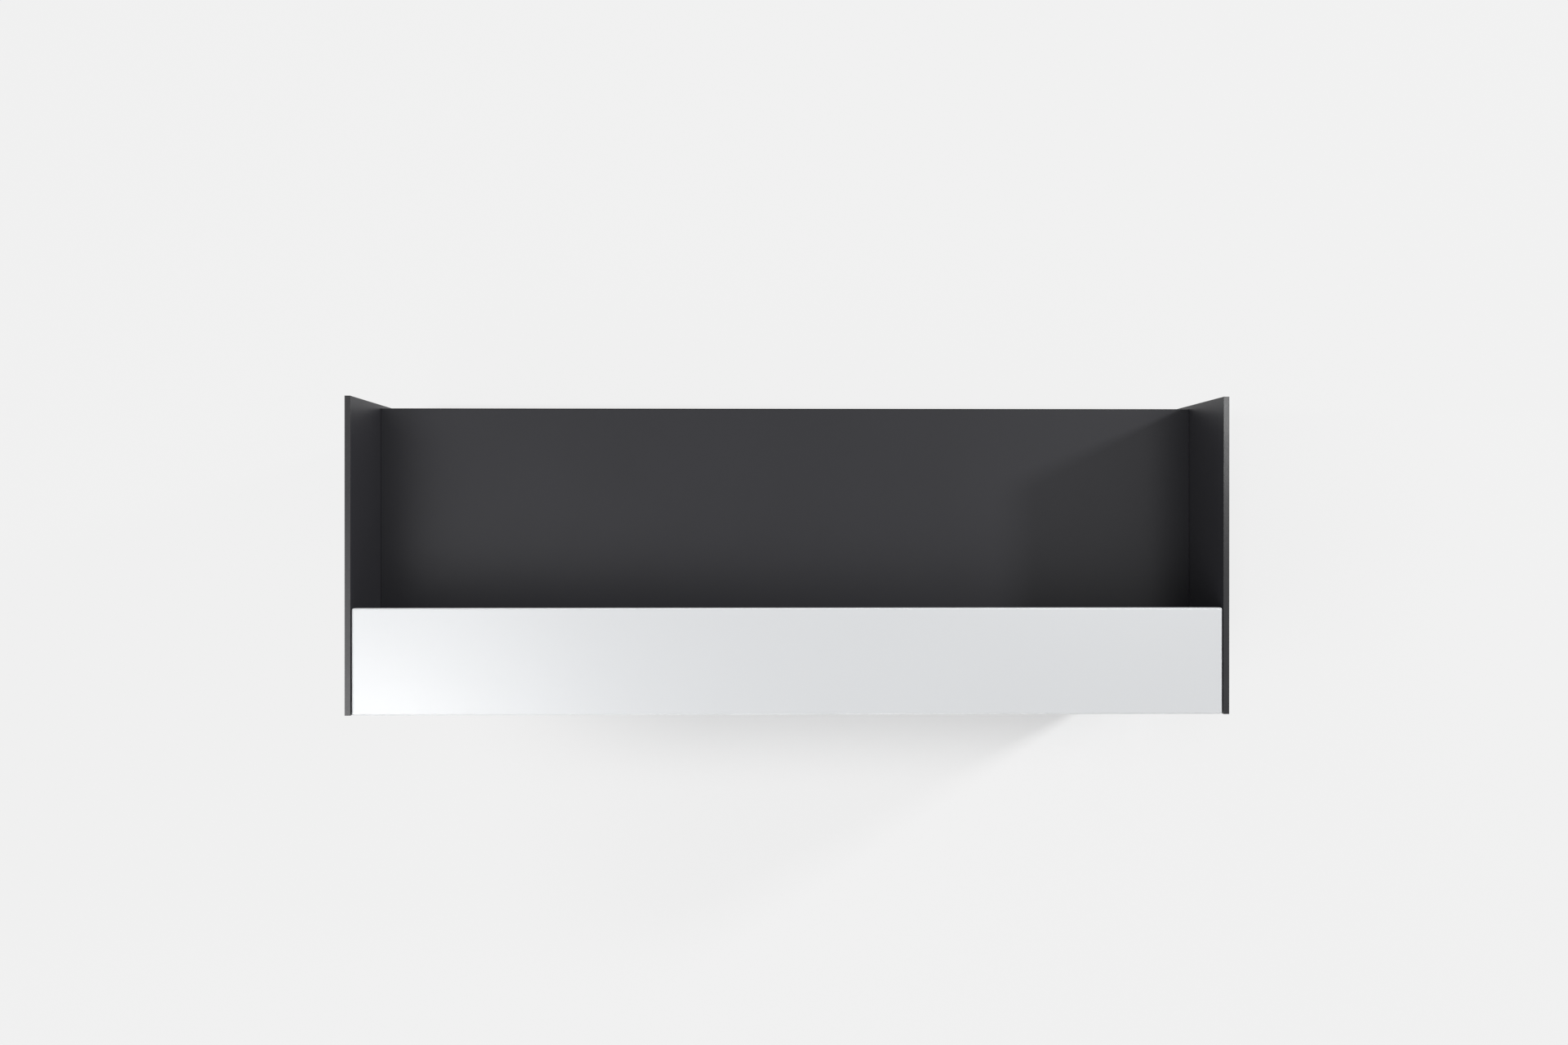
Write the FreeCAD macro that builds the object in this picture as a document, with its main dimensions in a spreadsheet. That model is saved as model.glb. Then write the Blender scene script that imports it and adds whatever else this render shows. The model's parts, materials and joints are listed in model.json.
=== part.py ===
import FreeCAD, Part
import os
import re
import Sketcher

# Reception desk, in millimetres. The origin lies on the floor under the middle of the desk.
# +X runs to the visitor's right, +Y towards the receptionist, +Z up.

DIMENSIONS = {
    # whole desk
    "width": 2400,
    "depth": 865,
    "height": 1100,
    "board": 16,
    "floor_gap": 10,
    "band": 1,
    "band_round": 0.8,
    # worktop
    "worktop_height": 740,
    "worktop_thick": 25,
    "worktop_inset": 10,
    "worktop_band": 2,
    "worktop_band_round": 1.6,
    "cable_slot": 40,
    # visitor counter and front
    "counter_depth": 290,
    "counter_thick": 30,
    "counter_drop": 2,
    "counter_round": 5,
    "counter_arris": 1.5,
    "end_gap": 2,
    "fascia_setback": 30,
    "fascia_reveal": 3,
    "fascia_round": 2,
    "kick_height": 80,
    # steel angles and brackets
    "angle_steel": 3,
    "plate_steel": 4,
    "bend": 2,
    "steel_corner": 4,
    "cleat_leg": 40,
    "cleat_length": 620,
    "cleat_middle": 5,
    "cleat_screw_pitch": 180,
    "cleat_screw_in": 24,
    "counter_cleat_leg": 25,
    "counter_cleat_length": 180,
    "counter_cleat_middle": -265,
    "counter_cleat_screw_pitch": 140,
    "counter_cleat_screw_in": 15,
    "bracket_pitch": 600,
    "shelf_out": 100,
    "shelf_down": 60,
    "shelf_wide": 60,
    "shelf_screw_pitch": 36,
    "shelf_screw_out": 75,
    "shelf_screw_down": 39,
    "arm_out": 190,
    "arm_down": 150,
    "arm_wide": 40,
    "arm_screw_pitch": 24,
    "arm_screw_near": 47.5,
    "arm_screw_far": 161.5,
    "arm_screw_high": 37.5,
    "arm_screw_low": 127.5,
    "gusset": 110,
    # stiffening tube under the user's edge
    "rail_wide": 50,
    "rail_tall": 25,
    "rail_wall": 2,
    "rail_middle": 370,
    "rail_plate_wide": 70,
    "rail_plate_tall": 90,
    "plate_screw_pitch": 42,
    "plate_screw_high": 45,
    "plate_screw_low": 76.5,
    "rail_screw_pitch": 500,
    # cable tray
    "tray_steel": 1.5,
    "tray_length": 1400,
    "tray_out": 110,
    "tray_back": 80,
    "tray_lip": 55,
    "tray_floor": 545,
    "tray_bend": 1.5,
    "tray_screw_rise": 64,
    "tray_screw_pitch": 260,
    "slot_long": 40,
    "slot_wide": 8,
    "slot_pitch": 100,
    # screws
    "screw_radius": 2,
    "screw_head_radius": 4,
    "screw_head": 2.4,
    "screw_head_rim": 1.2,
    "screw_head_flat": 2.4,
    "screw_tip": 4,
    "recess_long": 4,
    "recess_wide": 1,
    "recess_deep": 1.4,
    "panel_screw": 14,
    "top_screw": 20,
    "fascia_screw": 28,
    "rail_screw": 43,
    "fascia_screw_pitch": 400,
    "fascia_screw_low": 300,
    "fascia_screw_high": 850,
    "screw_hole_play": 0.2,
    # knock-down fittings
    "cam_radius": 7.5,
    "cam_depth": 12.5,
    "cam_inset": 34,
    "cam_bore": 3.6,
    "cam_slot_long": 9,
    "cam_slot_wide": 1.8,
    "cam_slot_deep": 2.5,
    "cam_clear": 0.5,
    "cam_low": 160,
    "cam_mid": 560,
    "cam_high": 980,
    "bolt_thread": 2.5,
    "bolt_grip": 11,
    "bolt_shank": 3.5,
    "bolt_neck": 2,
    "bolt_head": 3.3,
    "bolt_head_long": 5,
    "bolt_head_play": 0.2,
    "dowel_radius": 4,
    "dowel_in": 12,
    "dowel_out": 18,
    "dowel_chamfer": 0.8,
    "dowel_low": 100,
    "dowel_lower": 360,
    "dowel_upper": 780,
    "dowel_high": 1030,
    "counter_dowel_pitch": 420,
    # levelling feet
    "foot_spread": 340,
    "middle_foot": 400,
    "foot_leg_out": 45,
    "foot_leg_up": 60,
    "foot_wide": 40,
    "foot_screw_pitch": 22,
    "foot_screw_low": 27,
    "foot_screw_high": 49,
    "stud_out": 25,
    "stud_radius": 4,
    "stud_top": 54,
    "stud_chamfer": 0.9,
    "stud_play": 0.08,
    "nut_flats": 13,
    "nut_tall": 6.5,
    "pad_radius": 20,
    "pad_rim": 4,
    "pad_edge": 1,
    "pad_shoulder": 8,
    "pad_hub": 11,
    "pad_tall": 14,
    "pad_hub_flats": 17,
    "pad_seat": 4,
}

# Faces and edges that several pieces share, worked out from the dimensions above.
PLACES = {
    "inner_face": "width / 2 - board",
    "fascia_front": "fascia_setback - depth / 2",
    "modesty_front": "fascia_front + board",
    "modesty_back": "modesty_front + board",
    "modesty_middle": "modesty_front + board / 2",
    "worktop_front": "modesty_back + cable_slot",
    "worktop_back": "depth / 2 - worktop_inset",
    "worktop_under": "worktop_height - worktop_thick",
    "counter_under": "height - counter_drop - counter_thick",
    "long_board": "2 * (width / 2 - board)",
    "white_board": "2 * (width / 2 - board - end_gap)",
    "hole_radius": "screw_radius + screw_hole_play",
    "thread_hole": "stud_radius + stud_play",
}

UP = FreeCAD.Vector(0, 0, 1)
ACROSS = FreeCAD.Vector(1, 0, 0)
BRACKETS = 4
RAIL_SCREWS = 5
TRAY_SCREWS = 6
TRAY_SLOTS = 13
COUNTER_DOWELS = 6
FASCIA_SCREWS = 6
EDGE_CLOSE = 0.01

doc = FreeCAD.newDocument("ReceptionDesk")
subparts = {}
solid_counts = {}
screw_spots = {"left": [], "right": [], "modesty": [], "worktop": [], "counter": []}


def make_sheet():
    """Put every driving dimension in the sheet, under its own alias."""
    made = doc.addObject("Spreadsheet::Sheet", "Dims")
    for row, (alias, value) in enumerate(DIMENSIONS.items(), start=1):
        made.set(f"A{row}", alias)
        made.set(f"B{row}", str(value))
        made.setAlias(f"B{row}", alias)
    doc.recompute()
    return made


def formula(text):
    """Spell out shared places, and point every dimension's name at its cell."""
    def spell(match):
        word = match.group()
        if word in PLACES:
            return f"({formula(PLACES[word])})"
        return f"Dims.{word}" if word in DIMENSIONS else word
    return re.sub(r"[a-z][a-z_]*", spell, text)


def size(text):
    """The present value of a formula."""
    return float(sheet.evalExpression(formula(text)))


def set_place(thing, spot, rotation=FreeCAD.Rotation()):
    """Turn a piece, and bind its three coordinates to formulas."""
    thing.Placement = FreeCAD.Placement(FreeCAD.Vector(), rotation)
    for axis, text in zip("xyz", spot):
        thing.setExpression(f"Placement.Base.{axis}", formula(text))


def keep(label, thing, solids=1):
    """Name a finished piece and put it on the list that is written out."""
    thing.Label = label
    subparts[label] = thing
    solid_counts[label] = solids
    return thing


def box(name, sides, corner):
    """A rectangular block from its lowest corner."""
    made = doc.addObject("Part::Box", name)
    for side, text in zip(("Length", "Width", "Height"), sides):
        made.setExpression(side, formula(text))
    set_place(made, corner)
    return made


def cylinder(name, radius, length, spot, direction=UP):
    """A round bar from the middle of its first end."""
    made = doc.addObject("Part::Cylinder", name)
    made.setExpression("Radius", formula(radius))
    made.setExpression("Height", formula(length))
    set_place(made, spot, FreeCAD.Rotation(UP, direction))
    return made


def compound(name, members):
    """Several shapes side by side, each still its own solid."""
    made = doc.addObject("Part::Compound", name)
    made.Links = members
    return made


def cut(name, base, tool):
    """A piece with another shape taken out of it."""
    made = doc.addObject("Part::Cut", name)
    made.Base = base
    made.Tool = tool
    return made


def copies(name, master, spots):
    """Copies of one master at spots given as a direction for its +Z and three formulas."""
    members = []
    for number, (direction, spot) in enumerate(spots, start=1):
        link = doc.addObject("App::Link", f"{name}_{number}")
        link.LinkedObject = master
        set_place(link, spot, FreeCAD.Rotation(UP, FreeCAD.Vector(*direction)))
        members.append(link)
    return compound(name, members)


def evenly(count, pitch):
    """Places at an even pitch, centred on zero, as formulas."""
    return [f"{number - (count - 1) / 2} * {pitch}" for number in range(count)]


def new_body(name):
    return doc.addObject("PartDesign::Body", name)


def new_sketch(body, name, role, lift="0"):
    """A sketch on one of the body's own origin planes, or level with it."""
    made = body.newObject("Sketcher::SketchObject", f"{body.Name}_{name}")
    plane = next(item for item in body.Origin.OriginFeatures if item.Role == role)
    made.AttachmentSupport = [(plane, "")]
    made.MapMode = "FlatFace"
    if lift != "0":
        made.setExpression("AttachmentOffset.Base.z", formula(lift))
    return made


def pin(sketch, geometry, point, across, up):
    """Hold a sketch point at two formulas measured from the sketch's origin."""
    for kind, axis, text in (("DistanceX", -2, across), ("DistanceY", -1, up)):
        if text == "0":
            sketch.addConstraint(Sketcher.Constraint("PointOnObject", geometry, point, axis))
            continue
        held = sketch.addConstraint(Sketcher.Constraint(kind, -1, 1, geometry, point, size(text)))
        sketch.setExpression(f"Constraints[{held}]", formula(text))


def draw_outline(sketch, corners):
    """A closed outline of straight lines through corners given as pairs of formulas."""
    first = sketch.GeometryCount
    count = len(corners)
    points = [FreeCAD.Vector(size(across), size(up), 0) for across, up in corners]
    for number, point in enumerate(points):
        sketch.addGeometry(Part.LineSegment(point, points[(number + 1) % count]), False)
    for number in range(count):
        follower = first + (number + 1) % count
        sketch.addConstraint(Sketcher.Constraint("Coincident", first + number, 2, follower, 1))
    for number, (across, up) in enumerate(corners):
        pin(sketch, first + number, 1, across, up)


def draw_rectangle(sketch, low, high):
    """A rectangle from its lowest to its highest corner."""
    draw_outline(sketch, [low, (high[0], low[1]), high, (low[0], high[1])])


def draw_circle(sketch, across, up, radius):
    """A circle about a point given as two formulas."""
    middle = FreeCAD.Vector(size(across), size(up), 0)
    made = sketch.addGeometry(Part.Circle(middle, UP, size(radius)), False)
    pin(sketch, made, 3, across, up)
    held = sketch.addConstraint(Sketcher.Constraint("Radius", made, size(radius)))
    sketch.setExpression(f"Constraints[{held}]", formula(radius))


def draw_hexagon(sketch, flats):
    """A regular hexagon about the sketch's origin, given by its size across flats."""
    side = f"{flats} / 2"
    shoulder = f"{flats} / (2 * sqrt(3))"
    point = f"{flats} / sqrt(3)"
    draw_outline(sketch, [("0", point), (f"-{side}", shoulder), (f"-{side}", f"-{shoulder}"),
                          ("0", f"-{point}"), (side, f"-{shoulder}"), (side, shoulder)])


def draw_slot(sketch, across, up, long, wide):
    """A round-ended slot along the sketch's upright axis, about a point given as two formulas."""
    radius = size(wide) / 2
    reach = (size(long) - size(wide)) / 2
    middle = FreeCAD.Vector(size(across), size(up), 0)
    right = FreeCAD.Vector(radius, 0, 0)
    top = FreeCAD.Vector(0, reach, 0)
    first = sketch.GeometryCount
    sketch.addGeometry(Part.LineSegment(middle + right - top, middle + right + top), False)
    upper = middle + top
    sketch.addGeometry(Part.Arc(upper + right, upper + FreeCAD.Vector(0, radius, 0), upper - right), False)
    sketch.addGeometry(Part.LineSegment(middle - right + top, middle - right - top), False)
    lower = middle - top
    sketch.addGeometry(Part.Arc(lower - right, lower - FreeCAD.Vector(0, radius, 0), lower + right), False)
    for number in range(4):
        follower = first + (number + 1) % 4
        sketch.addConstraint(Sketcher.Constraint("Tangent", first + number, 2, follower, 1))
    pin(sketch, first + 1, 3, across, f"{up} + ({long} - {wide}) / 2")
    pin(sketch, first + 3, 3, across, f"{up} - ({long} - {wide}) / 2")
    held = sketch.addConstraint(Sketcher.Constraint("Radius", first + 1, radius))
    sketch.setExpression(f"Constraints[{held}]", formula(f"{wide} / 2"))


def pad(body, sketch, length, symmetric=False):
    """Raise a sketch to a length, to one side or evenly to both."""
    made = body.newObject("PartDesign::Pad", f"{sketch.Name}_pad")
    made.Profile = sketch
    made.setExpression("Length", formula(length))
    if symmetric:
        made.SideType = "Symmetric"
    doc.recompute()
    return made


def revolve(body, sketch):
    """Turn a half outline once round the sketch's upright axis."""
    made = body.newObject("PartDesign::Revolution", f"{sketch.Name}_turn")
    made.Profile = sketch
    made.ReferenceAxis = (sketch, ["V_Axis"])
    made.Angle = 360
    doc.recompute()
    return made


def pocket(body, sketch, depth=None, along_normal=False):
    """Cut a sketch right through the body, or to a depth, and make sure that it cut something."""
    before = body.Shape.Volume
    made = body.newObject("PartDesign::Pocket", f"{sketch.Name}_cut")
    made.Profile = sketch
    if depth is None:
        made.Type = "ThroughAll"
        made.SideType = "Symmetric"
    else:
        made.setExpression("Length", formula(depth))
        made.Reversed = along_normal
    doc.recompute()
    if body.Shape.Volume >= before:
        raise RuntimeError(f"{made.Name} cut nothing")
    return made


def round_edges(body, name, radius, chosen):
    """Round the body's edges that a test picks out."""
    base = body.Tip
    names = [f"Edge{number}" for number, edge in enumerate(base.Shape.Edges, start=1) if chosen(edge)]
    made = body.newObject("PartDesign::Fillet", f"{body.Name}_{name}")
    made.Base = (base, names)
    made.setExpression("Radius", formula(radius))
    doc.recompute()


def edges_through(*lines):
    """A test for straight edges along one axis, each line given as x, y, z with None for that axis."""
    def lies_on(edge, line):
        limits = edge.BoundBox
        spans = (limits.XLength, limits.YLength, limits.ZLength)
        return all(place is None or (span < EDGE_CLOSE and abs(middle - place) < EDGE_CLOSE)
                   for place, span, middle in zip(line, spans, edge.CenterOfMass))
    return lambda edge: any(lies_on(edge, line) for line in lines)


def turned_body(name, outline):
    """A solid of revolution about Z from a half outline of (radius, height) formulas."""
    body = new_body(name)
    sketch = new_sketch(body, "outline", "XZ_Plane")
    draw_outline(sketch, outline)
    revolve(body, sketch)
    return body


def cross_slots(name, long, wide, bottom, deep):
    """A cross of two slots, to be cut into a screw head or a cam."""
    one = box(f"{name}_one", (long, wide, deep), (f"-{long} / 2", f"-{wide} / 2", bottom))
    two = box(f"{name}_two", (wide, long, deep), (f"-{wide} / 2", f"-{long} / 2", bottom))
    made = doc.addObject("Part::Fuse", name)
    made.Base = one
    made.Tool = two
    return made


def pan_screw(name, length):
    """A pan-head screw: the head's underside is at zero, and it drives along +Z."""
    blank = turned_body(f"{name}_blank", [
        ("0", "-screw_head"),
        ("screw_head_flat", "-screw_head"),
        ("screw_head_radius", "-screw_head_rim"),
        ("screw_head_radius", "0"),
        ("screw_radius", "0"),
        ("screw_radius", f"{length} - screw_tip"),
        ("0", length),
    ])
    recess = cross_slots(f"{name}_recess", "recess_long", "recess_wide", "-screw_head", "recess_deep")
    return cut(name, blank, recess)


def countersunk_screw(name, length):
    """A countersunk screw, flush at zero and driven along +Z, with its plain blank for drilling."""
    blank = turned_body(f"{name}_blank", [
        ("0", "0"),
        ("screw_head_radius", "0"),
        ("screw_radius", "screw_head"),
        ("screw_radius", f"{length} - screw_tip"),
        ("0", length),
    ])
    recess = cross_slots(f"{name}_recess", "recess_long", "recess_wide", "0", "recess_deep")
    return cut(name, blank, recess), blank


def cam_fitting():
    """A cam housing, flush at zero and sunk along +Z, open towards +X for its bolt."""
    blank = cylinder("cam_blank", "cam_radius", "cam_depth", ("0", "0", "0"))
    mouth = ("-bolt_head_long / 2", "0", "board / 2")
    bore = cylinder("cam_bore", "cam_bore", "2 * cam_radius", mouth, ACROSS)
    bored = cut("cam_bored", blank, bore)
    recess = cross_slots("cam_recess", "cam_slot_long", "cam_slot_wide", "0", "cam_slot_deep")
    return cut("cam", bored, recess), blank


def cam_bolt():
    """A cam bolt: zero is the joint face, +Z screws into the end panel, the head is in the cam."""
    neck_end = "cam_radius - cam_inset + cam_clear"
    head_start = "bolt_head_long / 2 - cam_inset"
    head_end = "bolt_head_play - bolt_head_long / 2 - cam_inset"
    return turned_body("cam_bolt", [
        ("0", head_end),
        ("bolt_head", head_end),
        ("bolt_head", head_start),
        ("bolt_neck", head_start),
        ("bolt_neck", neck_end),
        ("bolt_shank", neck_end),
        ("bolt_shank", "0"),
        ("bolt_thread", "0"),
        ("bolt_thread", "bolt_grip"),
        ("0", "bolt_grip"),
    ])


def dowel():
    """A beech dowel with chamfered ends, across a joint face at zero."""
    thin = "dowel_radius - dowel_chamfer"
    return turned_body("dowel", [
        ("0", "-dowel_out"),
        (thin, "-dowel_out"),
        ("dowel_radius", "dowel_chamfer - dowel_out"),
        ("dowel_radius", "dowel_in - dowel_chamfer"),
        (thin, "dowel_in"),
        ("0", "dowel_in"),
    ])


def wall_frame(side):
    """How a bracket stands on a wall: its turn about Z and its screws' direction into the wall."""
    return {
        "left": (0, (-1, 0, 0)),
        "right": (180, (1, 0, 0)),
        "modesty": (90, (0, -1, 0)),
    }[side]


def wall_spot(side, origin, along, out, down):
    """A point of a bracket in the desk's frame, from how far it is along, out from and down the wall."""
    across, depthwise, height = origin
    if side == "left":
        return (f"{across} + {out}", f"{depthwise} + {along}", f"{height} - {down}")
    if side == "right":
        return (f"{across} - ({out})", f"{depthwise} - ({along})", f"{height} - {down}")
    return (f"{across} - ({along})", f"{depthwise} + {out}", f"{height} - {down}")


def angle_body(name, out, down, length, steel):
    """A bent angle: one leg level, reaching out along +X, the other down the wall, both from zero."""
    body = new_body(name)
    sketch = new_sketch(body, "section", "XZ_Plane")
    draw_outline(sketch, [
        ("0", "0"),
        (out, "0"),
        (out, f"-{steel}"),
        (steel, f"-{steel}"),
        (steel, f"-{down}"),
        ("0", f"-{down}"),
    ])
    pad(body, sketch, length, symmetric=True)
    round_edges(body, "inner_bend", "bend", edges_through((size(steel), None, -size(steel))))
    round_edges(body, "outer_bend", f"bend + {steel}", edges_through((0, None, 0)))
    ends = (size(length) / 2, -size(length) / 2)
    level_corners = [(size(out), end, None) for end in ends]
    upright_corners = [(None, end, -size(down)) for end in ends]
    round_edges(body, "corners", "steel_corner", edges_through(*level_corners, *upright_corners))
    return body


def drill(body, name, role, holes, radius):
    """Round holes right through a body, at pairs of formulas on one of its origin planes."""
    sketch = new_sketch(body, name, role)
    for across, up in holes:
        draw_circle(sketch, across, up, radius)
    doc.recompute()
    pocket(body, sketch)


def fix_to_wall(side, origin, steel, spots):
    """Screws through a bracket's upright leg into the board that it stands on."""
    direction = wall_frame(side)[1]
    for along, down in spots:
        screw_spots[side].append((direction, wall_spot(side, origin, along, steel, down)))


def fix_to_board(group, side, origin, steel, spots):
    """Screws through a bracket's level leg, up into the board that lies on it."""
    for along, out in spots:
        screw_spots[group].append(((0, 0, 1), wall_spot(side, origin, along, out, steel)))


def angle_bracket(label, side, origin, sizes, wall, top, group, gusset=None):
    """A screwed angle under a board; sizes are (out, down, length, steel)."""
    out, down, length, steel = sizes
    body = angle_body(label, out, down, length, steel)
    if gusset:
        web = new_sketch(body, "gusset", "XZ_Plane")
        draw_outline(web, [(steel, f"-{steel}"), (gusset, f"-{steel}"), (steel, f"-{gusset}")])
        pad(body, web, steel, symmetric=True)
    drill(body, "wall_holes", "YZ_Plane", [(along, f"-{drop}") for along, drop in wall], "hole_radius")
    drill(body, "top_holes", "XY_Plane", [(reach, along) for along, reach in top], "hole_radius")
    set_place(body, origin, FreeCAD.Rotation(UP, wall_frame(side)[0]))
    fix_to_wall(side, origin, steel, wall)
    fix_to_board(group, side, origin, steel, top)
    return keep(label, body)


def make_cleats():
    """Long angles under the worktop's ends and short ones under the counter's."""
    work_spots = [(along, "cleat_screw_in") for along in evenly(4, "cleat_screw_pitch")]
    counter_spots = [(along, "counter_cleat_screw_in") for along in evenly(2, "counter_cleat_screw_pitch")]
    for side, wall in (("left", "-inner_face"), ("right", "inner_face")):
        angle_bracket(f"worktop_cleat_{side}", side, (wall, "cleat_middle", "worktop_under"),
                      ("cleat_leg", "cleat_leg", "cleat_length", "angle_steel"),
                      work_spots, work_spots, "worktop")
        angle_bracket(f"counter_cleat_{side}", side, (wall, "counter_cleat_middle", "counter_under"),
                      ("counter_cleat_leg", "counter_cleat_leg", "counter_cleat_length", "angle_steel"),
                      counter_spots, counter_spots, "counter")


def make_brackets():
    """Angles that carry the worktop over the cable slot, and gusseted arms under the counter."""
    shelf_pair = evenly(2, "shelf_screw_pitch")
    arm_pair = evenly(2, "arm_screw_pitch")
    for number, across in enumerate(evenly(BRACKETS, "bracket_pitch"), start=1):
        angle_bracket(f"worktop_bracket_{number}", "modesty", (across, "modesty_back", "worktop_under"),
                      ("shelf_out", "shelf_down", "shelf_wide", "plate_steel"),
                      [(along, "shelf_screw_down") for along in shelf_pair],
                      [(along, "shelf_screw_out") for along in shelf_pair], "worktop")
        angle_bracket(f"counter_bracket_{number}", "modesty", (across, "modesty_back", "counter_under"),
                      ("arm_out", "arm_down", "arm_wide", "plate_steel"),
                      [(along, drop) for drop in ("arm_screw_high", "arm_screw_low") for along in arm_pair],
                      [(along, reach) for reach in ("arm_screw_near", "arm_screw_far") for along in arm_pair],
                      "counter", "gusset")


def make_rail():
    """The tube that stiffens the worktop near its user's edge, and a plate at each end."""
    body = new_body("worktop_rail")
    section = new_sketch(body, "section", "YZ_Plane")
    half = "rail_wide / 2"
    inner_half = f"{half} - rail_wall"
    draw_rectangle(section, (f"-{half}", "-rail_tall"), (half, "0"))
    draw_rectangle(section, (f"-({inner_half})", "rail_wall - rail_tall"), (inner_half, "-rail_wall"))
    pad(body, section, "long_board - 2 * plate_steel", symmetric=True)
    side = size(half)
    foot = -size("rail_tall")
    round_edges(body, "corners", "rail_wall", edges_through((None, side, 0), (None, -side, 0),
                                                            (None, side, foot), (None, -side, foot)))
    screw_line = evenly(RAIL_SCREWS, "rail_screw_pitch")
    drill(body, "screw_holes", "XY_Plane", [(across, "0") for across in screw_line], "hole_radius")
    set_place(body, ("0", "rail_middle", "worktop_under"))
    keep("worktop_rail", body)

    plate_spots = [(along, drop) for along in evenly(2, "plate_screw_pitch")
                   for drop in ("plate_screw_high", "plate_screw_low")]
    plate_half = size("rail_plate_wide") / 2
    plate_foot = -size("rail_plate_tall")
    for side, wall, near in (("left", "-inner_face", "-inner_face"),
                             ("right", "inner_face", "inner_face - plate_steel")):
        plate = new_body(f"rail_plate_{side}")
        outline = new_sketch(plate, "outline", "YZ_Plane")
        draw_rectangle(outline, ("-rail_plate_wide / 2", "-rail_plate_tall"), ("rail_plate_wide / 2", "0"))
        pad(plate, outline, "plate_steel")
        round_edges(plate, "corners", "steel_corner",
                    edges_through((None, plate_half, plate_foot), (None, -plate_half, plate_foot)))
        holes = [(along, f"-{drop}") for along, drop in plate_spots]
        drill(plate, "screw_holes", "YZ_Plane", holes, "hole_radius")
        set_place(plate, (near, "rail_middle", "worktop_under"))
        fix_to_wall(side, (wall, "rail_middle", "worktop_under"), "plate_steel", plate_spots)
        keep(f"rail_plate_{side}", plate)

    screw = pan_screw("rail_screw", "rail_screw")
    spots = [((0, 0, 1), (across, "rail_middle", "worktop_under - rail_tall")) for across in screw_line]
    return keep("rail_screws", copies("rail_screws", screw, spots), len(spots))


def make_tray():
    """A folded sheet tray on the modesty panel, with slots for cable ties in its floor."""
    body = new_body("cable_tray")
    section = new_sketch(body, "section", "XZ_Plane")
    draw_outline(section, [
        ("0", "0"),
        ("tray_out", "0"),
        ("tray_out", "tray_lip"),
        ("tray_out - tray_steel", "tray_lip"),
        ("tray_out - tray_steel", "tray_steel"),
        ("tray_steel", "tray_steel"),
        ("tray_steel", "tray_back"),
        ("0", "tray_back"),
    ])
    pad(body, section, "tray_length", symmetric=True)
    steel = size("tray_steel")
    out = size("tray_out")
    round_edges(body, "inner_bends", "tray_bend",
                edges_through((steel, None, steel), (out - steel, None, steel)))
    round_edges(body, "outer_bends", "tray_bend + tray_steel", edges_through((0, None, 0), (out, None, 0)))
    slots = new_sketch(body, "slots", "XY_Plane")
    for along in evenly(TRAY_SLOTS, "slot_pitch"):
        draw_slot(slots, "tray_out / 2", along, "slot_long", "slot_wide")
    doc.recompute()
    pocket(body, slots)
    line = evenly(TRAY_SCREWS, "tray_screw_pitch")
    drill(body, "screw_holes", "YZ_Plane", [(along, "tray_screw_rise") for along in line], "hole_radius")
    origin = ("0", "modesty_back", "tray_floor")
    set_place(body, origin, FreeCAD.Rotation(UP, wall_frame("modesty")[0]))
    fix_to_wall("modesty", origin, "tray_steel", [(along, "(-tray_screw_rise)") for along in line])
    keep("cable_tray", body)


def make_foot(name, side, wall):
    """One levelling foot: its bracket on a board, the threaded stud and the pad."""
    origin = (wall[0], wall[1], "pad_tall")
    bracket = angle_body(f"foot_bracket_{name}", "foot_leg_out", "foot_leg_up", "foot_wide", "plate_steel")
    spots = [(along, rise) for along in evenly(2, "foot_screw_pitch")
             for rise in ("foot_screw_low", "foot_screw_high")]
    drill(bracket, "wall_holes", "YZ_Plane", [(along, f"-{rise}") for along, rise in spots], "hole_radius")
    drill(bracket, "stud_hole", "XY_Plane", [("stud_out", "0")], "thread_hole")
    upside_down = FreeCAD.Rotation(ACROSS, 180)
    turn = FreeCAD.Rotation(UP, wall_frame(side)[0])
    set_place(bracket, origin, turn.multiply(upside_down))
    fix_to_wall(side, origin, "plate_steel", [(along, f"(-{rise})") for along, rise in spots])
    keep(f"foot_bracket_{name}", bracket)

    stud_spot = wall_spot(side, (wall[0], wall[1], "0"), "0", "stud_out", "0")
    thin = "stud_radius - stud_chamfer"
    stud = turned_body(f"foot_stud_{name}", [
        ("0", "pad_seat"),
        ("stud_radius", "pad_seat"),
        ("stud_radius", "stud_top - stud_chamfer"),
        (thin, "stud_top"),
        ("0", "stud_top"),
    ])
    set_place(stud, stud_spot)
    keep(f"foot_stud_{name}", stud)

    foot = turned_body(f"foot_pad_{name}", [
        ("0", "0"),
        ("pad_radius - pad_edge", "0"),
        ("pad_radius", "pad_edge"),
        ("pad_radius", "pad_rim"),
        ("pad_hub", "pad_shoulder"),
        ("0", "pad_shoulder"),
    ])
    hub = new_sketch(foot, "hub", "XY_Plane", "pad_shoulder")
    draw_hexagon(hub, "pad_hub_flats")
    doc.recompute()
    pad(foot, hub, "pad_tall - pad_shoulder")
    seat = new_sketch(foot, "seat", "XY_Plane", "pad_tall")
    draw_circle(seat, "0", "0", "stud_radius")
    doc.recompute()
    pocket(foot, seat, "pad_tall - pad_seat")
    set_place(foot, stud_spot)
    keep(f"foot_pad_{name}", foot)
    return stud_spot


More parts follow.
